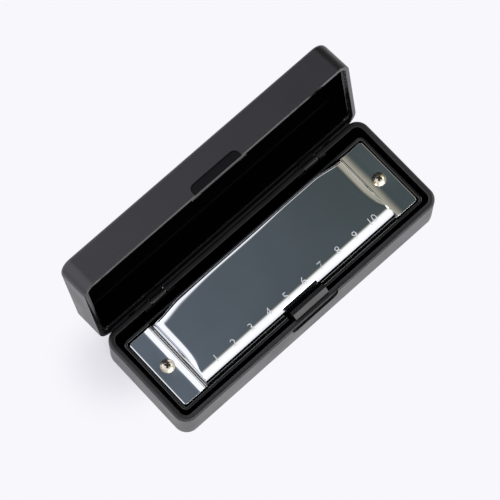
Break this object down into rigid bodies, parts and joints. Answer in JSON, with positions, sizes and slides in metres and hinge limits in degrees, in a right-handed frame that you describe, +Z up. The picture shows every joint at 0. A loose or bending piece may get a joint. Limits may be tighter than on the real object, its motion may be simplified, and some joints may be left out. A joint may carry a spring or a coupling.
{
  "type": "harmonica case",
  "caption": "Hinged hard plastic case, lid open, with a sprung front latch tongue and a raised cradle that holds a chrome-covered harmonica.",
  "frame": {"origin": "centre of the base's underside, on the table", "axes": "+X along the case with hole 1 at -X, +Y to the hinge side, +Z up; the lid is stored open"},
  "size_m": [0.1112, 0.0571, 0.0518],
  "materials": {
    "case_plastic": "fine matte outside, polished inside",
    "latch_plastic": "smooth moulded",
    "pin_steel": "ground",
    "comb_plastic": "smooth moulded",
    "plate_brass": "rolled sheet",
    "reed_brass": "rolled strip",
    "rivet_brass": "turned",
    "cover_chrome": "mirror plated sheet",
    "screw_steel": "plated"
  },
  "bodies": {
    "base": {"base_shell": "case_plastic", "hinge_pin_left": "pin_steel", "hinge_pin_right": "pin_steel"},
    "lid": {"lid_shell": "case_plastic"},
    "latch": {"latch_tongue": "latch_plastic"},
    "harmonica": {"comb": "comb_plastic", "top_reed_plate": "plate_brass", "bottom_reed_plate": "plate_brass", "blow_reed_rivets": "rivet_brass", "draw_reed_rivets": "rivet_brass", "top_plate_screws": "rivet_brass", "bottom_plate_screws": "rivet_brass", "top_cover": "cover_chrome", "bottom_cover": "cover_chrome", "cover_screws": "screw_steel", "cover_nuts": "screw_steel", "blow_reed_1": "reed_brass", "blow_reed_2": "reed_brass", "blow_reed_3": "reed_brass", "blow_reed_4": "reed_brass", "blow_reed_5": "reed_brass", "blow_reed_6": "reed_brass", "blow_reed_7": "reed_brass", "blow_reed_8": "reed_brass", "blow_reed_9": "reed_brass", "blow_reed_10": "reed_brass", "draw_reed_1": "reed_brass", "draw_reed_2": "reed_brass", "draw_reed_3": "reed_brass", "draw_reed_4": "reed_brass", "draw_reed_5": "reed_brass", "draw_reed_6": "reed_brass", "draw_reed_7": "reed_brass", "draw_reed_8": "reed_brass", "draw_reed_9": "reed_brass", "draw_reed_10": "reed_brass"}
  },
  "joints": [
    {"name": "lid_hinge", "type": "hinge", "parent": "base", "child": "lid", "pos_m": [0, 0.01825, 0.01485], "axis": [1, 0, 0], "range_deg": [0, 99.4]},
    {"name": "latch_flex", "type": "hinge", "parent": "base", "child": "latch", "pos_m": [0.0006, -0.01585, 0.002], "axis": [1, 0, 0], "range_deg": [-2.4, 0], "stiffness_Nm_per_rad": 0.5},
    {"name": "harmonica_lift", "type": "slide", "parent": "base", "child": "harmonica", "axis": [0, 0, 1], "range_m": [0, 0.005]}
  ]
}
